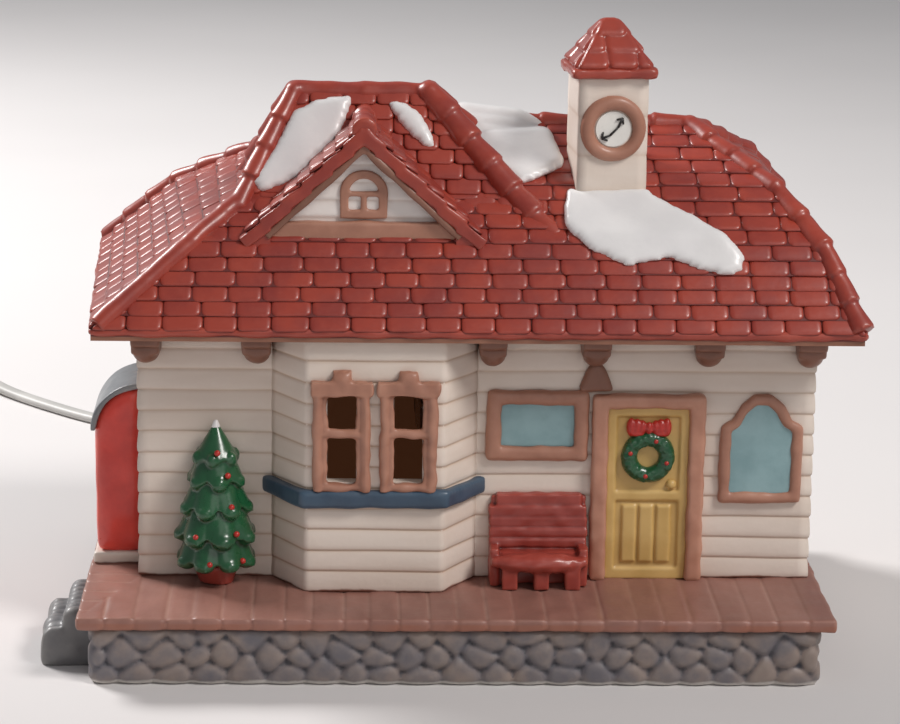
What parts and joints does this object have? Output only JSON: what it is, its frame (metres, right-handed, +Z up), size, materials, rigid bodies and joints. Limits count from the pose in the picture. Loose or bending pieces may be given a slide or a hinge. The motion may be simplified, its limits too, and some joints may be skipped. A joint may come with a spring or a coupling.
{
  "type": "ceramic village house",
  "caption": "Hollow ceramic village house in the form of a small railway station, lit by a pull-out lamp holder with bulb, cord, thumb-wheel switch and plug.",
  "frame": {"origin": "on the floor under the middle of the house's own box, cord left out", "axes": "+Z up, +X to the viewer's right along the front, +Y from the front to the back"},
  "size_m": [0.3298, 0.3199, 0.1578],
  "materials": {
    "stone_gray": "satin bisque stain with dark grooves",
    "deck_brown": "satin painted boards",
    "siding_cream": "satin bisque with tan wash in the grooves",
    "sill_blue": "satin paint",
    "frame_brown": "satin paint",
    "roof_red": "semi-gloss paint over relief tiles",
    "snow_white": "gloss",
    "panel_blue": "satin paint",
    "door_ochre": "satin paint",
    "tree_green": "semi-gloss paint",
    "bright_red": "semi-gloss paint",
    "bench_red": "semi-gloss paint",
    "hood_gray": "satin paint",
    "dial_white": "satin paint",
    "holder_white": "moulded",
    "brass": "drawn",
    "spring_steel": "bright",
    "bulb_glass": "clear",
    "cord_white": "soft vinyl",
    "switch_white": "moulded",
    "wheel_white": "ribbed",
    "tie_white": "flat tie"
  },
  "bodies": {
    "house": {"stone_base": "stone_gray", "side_steps": "stone_gray", "boardwalk": "deck_brown", "wall_shell": "siding_cream", "bay_window": "siding_cream", "dormer_gable": "siding_cream", "clock_tower": "siding_cream", "mailbox_foot": "siding_cream", "bay_sill": "sill_blue", "window_frame_left": "frame_brown", "window_frame_right": "frame_brown", "eave_brackets": "frame_brown", "sign_frame": "frame_brown", "door_frame": "frame_brown", "notice_frame": "frame_brown", "dormer_sill": "frame_brown", "dormer_window": "frame_brown", "wall_lantern": "frame_brown", "clock_bezel": "frame_brown", "roof_shell": "roof_red", "upper_roof": "roof_red", "ridge_tiles": "roof_red", "dormer_roof": "roof_red", "tower_cap": "roof_red", "roof_snow": "snow_white", "sign_panel": "panel_blue", "notice_panel": "panel_blue", "door_leaf": "door_ochre", "door_knob": "door_ochre", "christmas_tree": "tree_green", "door_wreath": "tree_green", "wreath_bow": "bright_red", "mailbox_body": "bright_red", "platform_bench": "bench_red", "tree_pot": "bench_red", "mailbox_hood": "hood_gray", "clock_dial": "dial_white"},
    "light_set": {"lamp_socket": "holder_white", "socket_shell": "brass", "socket_contact": "brass", "spring_clips": "spring_steel", "cord_relief": "holder_white", "cord_lead": "cord_white", "cord_coil": "cord_white", "cord_tail": "cord_white", "cord_plug_end": "cord_white", "coil_tie": "tie_white", "switch_lower": "switch_white", "switch_upper": "switch_white", "switch_screw": "spring_steel", "plug_body": "switch_white", "plug_blades": "brass"},
    "bulb": {"bulb_base": "brass", "bulb_glass": "bulb_glass", "bulb_stem": "bulb_glass", "bulb_filament": "spring_steel"},
    "switch_wheel": {"switch_wheel": "wheel_white"}
  },
  "joints": [
    {"name": "light_pull", "type": "slide", "parent": "house", "child": "light_set", "axis": [0, 1, 0], "range_m": [0, 0.07]},
    {"name": "bulb_turn", "type": "hinge", "parent": "light_set", "child": "bulb", "pos_m": [0.00675, 0.03, 0.042], "axis": [0, 1, 0], "continuous": true},
    {"name": "switch_turn", "type": "hinge", "parent": "light_set", "child": "switch_wheel", "pos_m": [-0.1845, 0.095, 0.0065], "axis": [0, 0, 1], "continuous": true}
  ]
}
